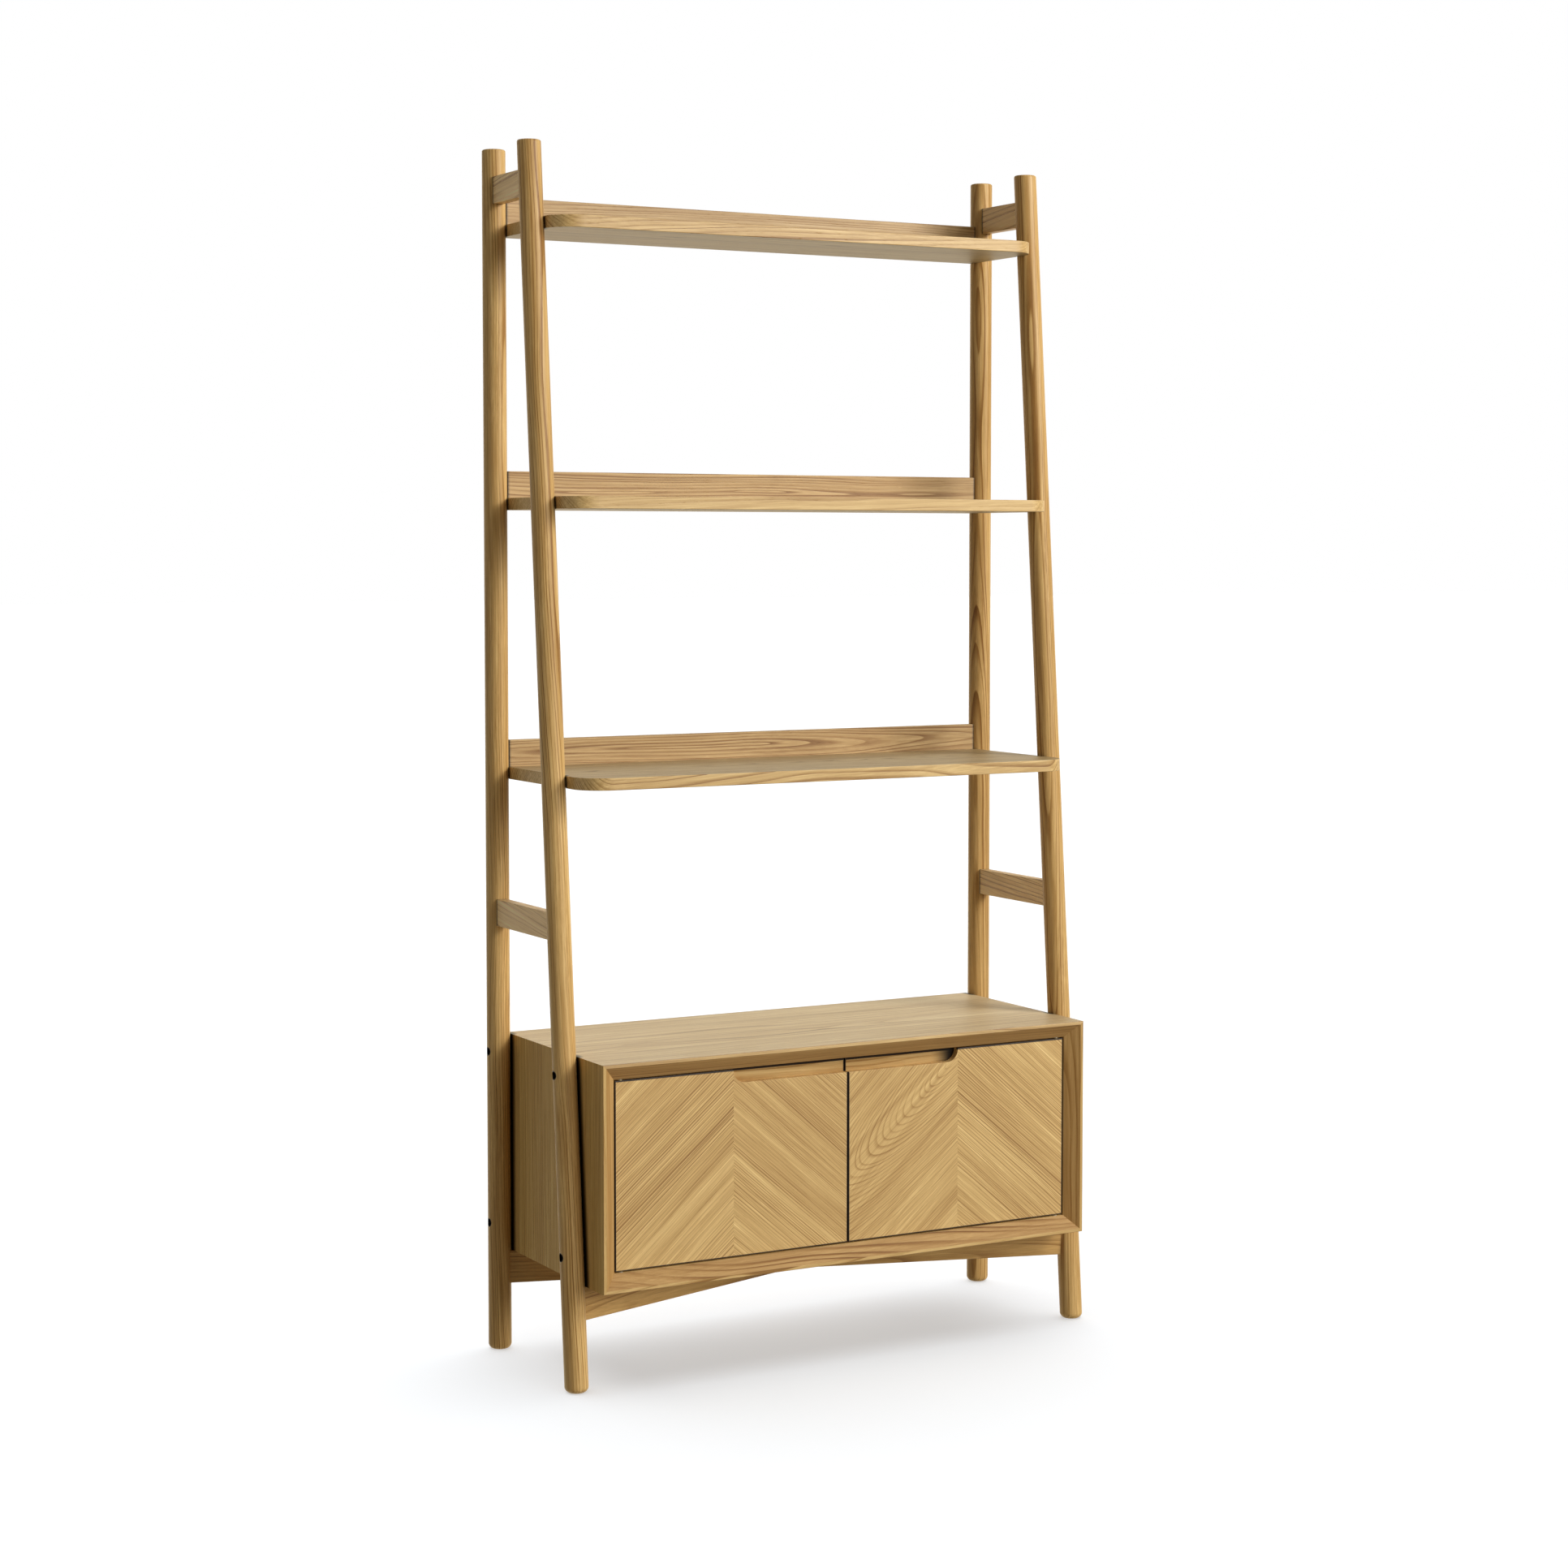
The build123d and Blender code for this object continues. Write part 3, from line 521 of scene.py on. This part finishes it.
# ---- which oak each piece is cut from: the turn that lays it in the log, and where in the log ----
LEAN = math.atan(RAKE)
QUARTER = math.pi / 2
ALONG_X = (0.0, 0.0, 0.0)
ALONG_Z = (0.0, QUARTER, 0.0)
LOG_LENGTH = 0.7
SHELF_LOG_LENGTH = 1.3

for number, side in enumerate(("left", "right")):
    far = LOG_LENGTH * number
    out = 1 - 2 * number
    cuts = {
        "rear_post": ((0.0, QUARTER + 0.018, 0.012), (0.3 + far, 0.03 * out, 0.035),
                      POST_OAK, POST_FIGURE),
        "front_post": ((LEAN - 0.015, QUARTER + 0.02 * out, 0.0), (1.1 + far, 0.03, 0.035 * out),
                       POST_OAK, POST_FIGURE),
        "upper_rail": ((0.12, 0.0, -QUARTER), (0.5 + far, 0.045 * out, 0.01), RAIL_OAK, RAIL_FIGURE),
        "middle_rail": ((-0.14, 0.0, -QUARTER), (0.9 + far, 0.04 * out, 0.02), RAIL_OAK, RAIL_FIGURE),
        "pull_strip": (ALONG_X, (0.2 + far, 0.08, 0.02), STRIP_OAK, STRIP_FIGURE),
    }
    for part, cut in cuts.items():
        assign(f"{side}_{part}", oak(f"{side}_{part}", *cut))
    assign(f"{side}_case_side", case_oak(f"{side}_case_side", ALONG_Z, (2.2 + far, 0.07, 0.05),
                                         SIDE_OAK, ring_depth=0.55, gloss=0.12))
assign("left_door", chevron("left_door", ((0.05, 0.06, 0.03, 0.0, 0.64),
                                          (-0.22, 0.05, -0.03, 0.1, 0.62))))
assign("right_door", chevron("right_door", ((0.335, 0.0, 0.21, 0.31, 0.36),
                                            (0.04, 0.06, 0.03, 0.0, 0.64))))
for number, (level, shade) in enumerate((("lower", 0.92), ("middle", 0.98), ("upper", 0.87))):
    far = SHELF_LOG_LENGTH * number
    board, upstand = f"{level}_shelf", f"{level}_upstand"
    upstand_oak = tuple(shade * part for part in UPSTAND_OAK[:3]) + (1,)
    assign(board, shelf_oak(board, (0.0, 0.07 - 0.03 * number, 0.03 * number - 0.02),
                            (0.4 + far, 0.02 * number, 0.05)))
    assign(upstand, oak(upstand, (0.0, 0.0, 0.025 - 0.02 * number), (0.8 + far, 0.012, 0.006 * number),
                        upstand_oak, UPSTAND_FIGURE))
for number, node in enumerate(("lower_halved_stretcher", "upper_halved_stretcher")):
    assign(node, oak(node, (0.0, 0.0, 0.32 - 0.64 * number), (3.1 + number, 0.05, 0.03),
                     STRETCHER_OAK, {}))
assign("case_top", case_oak("case_top", ALONG_X, (5.2, 0.02, 0.09), TOP_OAK_AND_SHEEN,
                            ring_depth=0.45, gloss=0.8))
assign("case_bottom", case_oak("case_bottom", (0.0, 0.05, 0.03), (6.2, 0.02, 0.03), SIDE_OAK,
                               ring_depth=0.85, gloss=0.3))
assign("case_back", oak("case_back", ALONG_Z, (7.2, 0.03, 0.08), SIDE_OAK, BACK_FIGURE))
for node in ("mitre_dowels", "shelf_dowels", "upstand_dowels"):
    assign(node, oak(node, ALONG_X, (1.0, 0.2, 0.2), DOWEL_BEECH, DOWEL_FIGURE))

# ---- the finish of each fitting ----
for node in ("back_screws", "stretcher_screws", "hinge_pins", "catch_screws", "wall_plates",
             "wall_plate_screws", "left_strike_plate", "right_strike_plate", "left_strike_screws",
             "right_strike_screws"):
    assign(node, zinc_steel)
assign("case_bolts", black_oxide)
for node in ("threaded_inserts", "left_door_bushes", "right_door_bushes"):
    assign(node, turned_brass)
assign("catch_body", brown_plastic)
assign("catch_magnets", ferrite)


# ======================================================================================
# Screws and bolts
# ======================================================================================
SCREW_SIZES = (("Head Radius", 0.004), ("Head Height", 0.002), ("Head Taper", 1.0),
               ("Head Edge", 0.0002), ("Shank Radius", 0.002), ("Length", 0.016),
               ("Plain Length", 0.002), ("Point Length", 0.003), ("Thread Pitch", 0.0012),
               ("Thread Depth", 0.0003), ("Recess Radius", 0.0015), ("Recess Width", 0.0006),
               ("Recess Depth", 0.001))
BOLT_SIZES = {"Head Radius": 0.005, "Head Height": 0.006, "Head Taper": 0.0, "Head Edge": 0.0005,
              "Shank Radius": 0.003, "Plain Length": 0.014, "Point Length": 0.001,
              "Thread Pitch": 0.001, "Thread Depth": 0.0004, "Recess Radius": 0.0029,
              "Recess Depth": 0.003}
TURNED_ROWS, TURNED_COLUMNS = 110, 25
# How thick the tip is, as a share of the shank.
POINT_SHARE = 0.25
DRIVEN_SEED = 7
SHARP_EDGE = math.radians(38)


def make_screw_tree():
    """Geometry Nodes: one screw on every point of the host mesh, its head's face at the point."""
    tree = bpy.data.node_groups.new("screws", "GeometryNodeTree")
    face = tree.interface
    face.new_socket("Geometry", in_out="INPUT", socket_type="NodeSocketGeometry")
    for name, value in SCREW_SIZES:
        face.new_socket(name, in_out="INPUT", socket_type="NodeSocketFloat").default_value = value
    face.new_socket("Hex Recess", in_out="INPUT", socket_type="NodeSocketBool")
    face.new_socket("Finish", in_out="INPUT", socket_type="NodeSocketMaterial")
    face.new_socket("Geometry", in_out="OUTPUT", socket_type="NodeSocketGeometry")
    size = put(tree, "NodeGroupInput").outputs

    # A grid is rolled into a turned body: its rows run from the head's face to the point.
    row = 1.0 / (TURNED_ROWS - 1)
    flat = put(tree, "GeometryNodeMeshGrid", 1.0, 1.0, TURNED_ROWS, TURNED_COLUMNS).outputs["Mesh"]
    spot = put(tree, "ShaderNodeSeparateXYZ",
               put(tree, "GeometryNodeInputPosition").outputs[0]).outputs
    share = calc(tree, "ADD", spot[0], 0.5)
    angle = calc(tree, "MULTIPLY", calc(tree, "ADD", spot[1], 0.5), math.tau)
    depth = put(tree, "ShaderNodeMapRange", share, row, 1.0 - row, 0.0, size["Length"]).outputs[0]
    neck = calc(tree, "SUBTRACT", size["Head Radius"],
                calc(tree, "MULTIPLY", size["Head Taper"],
                     calc(tree, "SUBTRACT", size["Head Radius"], size["Shank Radius"])))
    head = put(tree, "ShaderNodeMapRange", depth, 0.0, size["Head Height"], size["Head Radius"],
               neck).outputs[0]
    rim = put(tree, "ShaderNodeMapRange", depth, 0.0, size["Head Edge"], size["Head Edge"],
              0.0).outputs[0]
    head = calc(tree, "SUBTRACT", head, rim)
    turns = calc(tree, "ADD", calc(tree, "DIVIDE", depth, size["Thread Pitch"]),
                 calc(tree, "DIVIDE", angle, math.tau))
    ridge = calc(tree, "MULTIPLY", calc(tree, "PINGPONG", turns, 0.5), 2.0)
    groove = calc(tree, "MULTIPLY", calc(tree, "SUBTRACT", 1.0, ridge), size["Thread Depth"])
    plain_end = calc(tree, "ADD", size["Head Height"], size["Plain Length"])
    threaded = calc(tree, "GREATER_THAN", depth, plain_end)
    shank = calc(tree, "SUBTRACT", size["Shank Radius"], calc(tree, "MULTIPLY", groove, threaded))
    point_start = calc(tree, "SUBTRACT", size["Length"], size["Point Length"])
    point = put(tree, "ShaderNodeMapRange", depth, point_start, size["Length"], 1.0,
                POINT_SHARE).outputs[0]
    shank = calc(tree, "MULTIPLY", shank, point)
    in_head = calc(tree, "LESS_THAN", depth, size["Head Height"])
    radius = put(tree, "GeometryNodeSwitch", in_head, shank, head, input_type="FLOAT").outputs[0]
    inside = calc(tree, "MULTIPLY", calc(tree, "GREATER_THAN", share, row / 2),
                  calc(tree, "LESS_THAN", share, 1.0 - row / 2))
    radius = calc(tree, "MULTIPLY", radius, inside)
    aside, above = (calc(tree, "MULTIPLY", radius, calc(tree, wave, angle))
                    for wave in ("COSINE", "SINE"))
    rolled = put(tree, "ShaderNodeCombineXYZ", aside, above,
                 calc(tree, "MULTIPLY", depth, -1.0)).outputs[0]
    body = put(tree, "GeometryNodeSetPosition", flat, named={"Position": rolled}).outputs[0]
    body = put(tree, "GeometryNodeMergeByDistance", body, named={"Distance": 1e-6}).outputs[0]

    # The recess in the head: a hexagon, or a cross.
    twice = calc(tree, "MULTIPLY", size["Recess Depth"], 2.0)
    hexagon = put(tree, "GeometryNodeMeshCylinder",
                  named={"Vertices": 6, "Radius": size["Recess Radius"], "Depth": twice}).outputs["Mesh"]
    long_side = calc(tree, "MULTIPLY", size["Recess Radius"], 2.0)
    bars = []
    for across, along in ((long_side, size["Recess Width"]), (size["Recess Width"], long_side)):
        bar = put(tree, "ShaderNodeCombineXYZ", across, along, twice).outputs[0]
        bars.append(put(tree, "GeometryNodeMeshCube", bar).outputs["Mesh"])
    cross = put(tree, "GeometryNodeMeshBoolean", operation="UNION", solver="EXACT")
    for bar in bars:
        tree.links.new(bar, cross.inputs["Mesh 2"])
    cutter = put(tree, "GeometryNodeSwitch", size["Hex Recess"], cross.outputs[0], hexagon,
                 input_type="GEOMETRY").outputs[0]
    cut = put(tree, "GeometryNodeMeshBoolean", body, cutter, operation="DIFFERENCE", solver="EXACT")

    # Each screw stands along its own outward direction and is driven to an angle of its own.
    outward = put(tree, "GeometryNodeInputNamedAttribute", "outward",
                  data_type="FLOAT_VECTOR").outputs[0]
    upright = put(tree, "FunctionNodeAlignRotationToVector", named={"Vector": outward}, axis="Z")
    chance = put(tree, "FunctionNodeRandomValue", data_type="FLOAT")
    chance.inputs[3].default_value = math.tau
    chance.inputs["Seed"].default_value = DRIVEN_SEED
    spin = put(tree, "ShaderNodeCombineXYZ", None, None, chance.outputs[1]).outputs[0]
    spin = put(tree, "FunctionNodeEulerToRotation", spin).outputs[0]
    driven = put(tree, "FunctionNodeRotateRotation", upright.outputs[0], spin, rotation_space="LOCAL")
    placed = put(tree, "GeometryNodeInstanceOnPoints",
                 named={"Points": size["Geometry"], "Instance": cut.outputs[0],
                        "Rotation": driven.outputs[0]}).outputs[0]
    real = put(tree, "GeometryNodeRealizeInstances", placed).outputs[0]
    shown = put(tree, "GeometryNodeSetMaterial", real,
                named={"Material": size["Finish"]}).outputs[0]
    put(tree, "NodeGroupOutput", shown)
    return tree


screw_tree = make_screw_tree()


def drive_screws(name, node, body, slot, finish, outward, hex_recess=False, **sizes):
    """Replaces a CAD node of plain screws by threaded ones. outward gives the way a head faces."""
    points, ways = [], []
    for low, high in solids_of(node):
        middle = (low + high) / 2
        way = Vector(outward(middle))
        reach = abs((high - low).dot(way))
        points.append(middle + way * reach / 2)
        ways.append(way)
    host_mesh = bpy.data.meshes.new(name + "_points")
    host_mesh.from_pydata(points, [], [])
    marks = host_mesh.attributes.new("outward", "FLOAT_VECTOR", "POINT")
    marks.data.foreach_set("vector", [part for way in ways for part in way])
    host = bpy.data.objects.new(name + "_points", host_mesh)
    scene.collection.objects.link(host)
    modifier = host.modifiers.new("screws", "NODES")
    modifier.node_group = screw_tree
    given = {**sizes, "Length": reach, "Hex Recess": hex_recess, "Finish": finish}
    for item in screw_tree.interface.items_tree:
        if item.in_out == "INPUT" and item.name in given:
            modifier[item.identifier] = given[item.name]
    shape = host.evaluated_get(bpy.context.evaluated_depsgraph_get())
    mesh = bpy.data.meshes.new_from_object(shape)
    mesh.name = name
    mesh.set_sharp_from_angle(angle=SHARP_EDGE)
    bpy.data.objects.remove(host)
    piece = bpy.data.objects.new(name, mesh)
    scene.collection.objects.link(piece)
    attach(piece, body)
    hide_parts(node)


def screw_sizes(head_d, shank_d, pitch):
    """Sizes of a countersunk wood screw with a cross recess, as shares of its head and shank."""
    return {"Head Radius": head_d / 2, "Head Height": (head_d - shank_d) / 2, "Head Taper": 1.0,
            "Head Edge": head_d * 0.02, "Shank Radius": shank_d / 2, "Plain Length": shank_d * 0.5,
            "Point Length": shank_d * 1.2, "Thread Pitch": pitch, "Thread Depth": shank_d * 0.14,
            "Recess Radius": head_d * 0.27, "Recess Width": head_d * 0.13, "Recess Depth": head_d * 0.2}


drive_screws("socket_head_bolts", "case_bolts", "frame", "black_steel", black_oxide,
             lambda spot: (math.copysign(1, spot.x), 0, 0), hex_recess=True, **BOLT_SIZES)
drive_screws("stretcher_wood_screws", "stretcher_screws", "frame", "steel", zinc_steel,
             lambda spot: (0, 0, -1), **screw_sizes(0.009, 0.005, 0.0025))
drive_screws("back_panel_screws", "back_screws", "frame", "steel", zinc_steel,
             lambda spot: (0, 1, 0), **screw_sizes(0.006, 0.0035, 0.0014))
drive_screws("catch_wood_screws", "catch_screws", "frame", "steel", zinc_steel,
             lambda spot: (0, 0, -1), **screw_sizes(0.007, 0.0035, 0.0015))
drive_screws("keyhole_plate_screws", "wall_plate_screws", "frame", "steel", zinc_steel,
             lambda spot: (0, 1, 0), **screw_sizes(0.0046, 0.0025, 0.0011))
for side in ("left", "right"):
    drive_screws(f"{side}_strike_plate_screws", f"{side}_strike_screws", f"{side}_door_leaf",
                 "steel", zinc_steel, lambda spot: (0, 1, 0), **screw_sizes(0.0046, 0.0025, 0.0011))


# ======================================================================================
# Studio
# ======================================================================================
def make_floor():
    """A plain pale floor, wide enough to fill every view. It glows a little, so it is white."""
    mesh = bpy.data.meshes.new("floor")
    corners = [(across * FLOOR_REACH, along * FLOOR_REACH, 0)
               for across, along in ((-1, -1), (1, -1), (1, 1), (-1, 1))]
    mesh.from_pydata(corners, [], [(0, 1, 2, 3)])
    floor = bpy.data.objects.new("floor", mesh)
    scene.collection.objects.link(floor)
    material = new_material("pale_floor")
    tree = material.node_tree
    skin = put(tree, "ShaderNodeBsdfPrincipled",
               named={"Base Color": FLOOR_GREY, "Roughness": 0.9, "Specular IOR Level": 0.0,
                      "Emission Color": WHITE, "Emission Strength": FLOOR_GLOW})
    put(tree, "ShaderNodeOutputMaterial", skin.outputs[0])
    mesh.materials.append(material)
    floor.visible_diffuse = False
    floor.visible_glossy = False
    return floor


def place_light(lamp, towards, distance=0.0, aim=(0.0, 0.0, 0.0)):
    """Stands a lamp in the direction of towards from the point that it is aimed at."""
    light = bpy.data.objects.new(lamp.name, lamp)
    scene.collection.objects.link(light)
    light.location = Vector(aim) + towards * distance
    light.rotation_euler = towards.to_track_quat("Z", "Y").to_euler()
    return light


def direction(azimuth, height):
    """Azimuth 0 is in front of the shelf and 90 degrees at its right."""
    turned, raised = math.radians(azimuth), math.radians(height)
    return Vector((math.sin(turned) * math.cos(raised), -math.cos(turned) * math.cos(raised),
                   math.sin(raised)))


def add_sun(name, strength, softness, azimuth, height):
    lamp = bpy.data.lights.new(name, "SUN")
    lamp.energy = strength
    lamp.angle = math.radians(softness)
    return place_light(lamp, direction(azimuth, height))


def add_softbox(name, power, side, azimuth, height, distance, aim):
    lamp = bpy.data.lights.new(name, "AREA")
    lamp.energy = power
    lamp.size = side
    return place_light(lamp, direction(azimuth, height), distance, aim)


def light_only(light, floor, state):
    """Lets a light reach the floor alone (INCLUDE) or everything but the floor (EXCLUDE)."""
    receivers = bpy.data.collections.new(light.name + "_receivers")
    receivers.objects.link(floor)
    receivers.collection_objects[0].light_linking.link_state = state
    light.light_linking.receiver_collection = receivers


def make_world():
    """White to the camera, with dim light from below as off a floor and a glow behind for gloss."""
    world = bpy.data.worlds.new("studio")
    world.use_nodes = True
    scene.world = world
    tree = world.node_tree
    tree.nodes.clear()
    way = put(tree, "ShaderNodeSeparateXYZ",
              put(tree, "ShaderNodeTexCoord").outputs["Generated"]).outputs
    ray = put(tree, "ShaderNodeLightPath").outputs
    below = calc(tree, "LESS_THAN", way[2], 0.0)
    behind = calc(tree, "MULTIPLY", calc(tree, "GREATER_THAN", way[1], 0.0),
                  ray["Is Glossy Ray"])
    lights = [put(tree, "ShaderNodeBackground", colour, amount).outputs[0]
              for colour, amount in ((BOUNCE, below), (REAR_GLOW, behind))]
    unseen = put(tree, "ShaderNodeAddShader", *lights).outputs[0]
    seen = put(tree, "ShaderNodeBackground", WHITE, 1.0).outputs[0]
    shown = put(tree, "ShaderNodeMixShader", ray["Is Camera Ray"], unseen, seen)
    put(tree, "ShaderNodeOutputWorld", shown.outputs[0])


def make_camera():
    """Stands at the front left, at chest height, and looks slightly down."""
    lens = bpy.data.cameras.new("camera")
    lens.lens = LENS_MM
    lens.sensor_width = 36.0
    lens.shift_y = CAMERA_SHIFT
    lens.clip_end = 200.0
    camera = bpy.data.objects.new("camera", lens)
    scene.collection.objects.link(camera)
    camera.location = CAMERA_PLACE
    camera.rotation_euler = (math.pi / 2 - CAMERA_TIP, 0.0, -CAMERA_YAW)
    scene.camera = camera


floor = make_floor()
make_world()
make_camera()
shelf_lights = [
    add_softbox("key", KEY_POWER, side=1.3, azimuth=39, height=29, distance=3.95, aim=(0.0, 0.0, 0.9)),
    add_sun("front", FRONT_STRENGTH, softness=30, azimuth=10, height=20),
    add_sun("side", SIDE_STRENGTH, softness=30, azimuth=35, height=15),
    add_sun("left_fill", LEFT_FILL, softness=60, azimuth=-80, height=12),
]
# The rear light is for the back alone: in the case top it would shine like a mirror.
rear_light = add_sun("rear", REAR_STRENGTH, softness=40, azimuth=172, height=8)
rear_light.visible_glossy = False
for light in (*shelf_lights, rear_light):
    light_only(light, floor, "EXCLUDE")
floor_light = add_sun("floor_light", FLOOR_LIGHT, softness=88, azimuth=140, height=74)
light_only(floor_light, floor, "INCLUDE")
scene.view_settings.view_transform = "Standard"
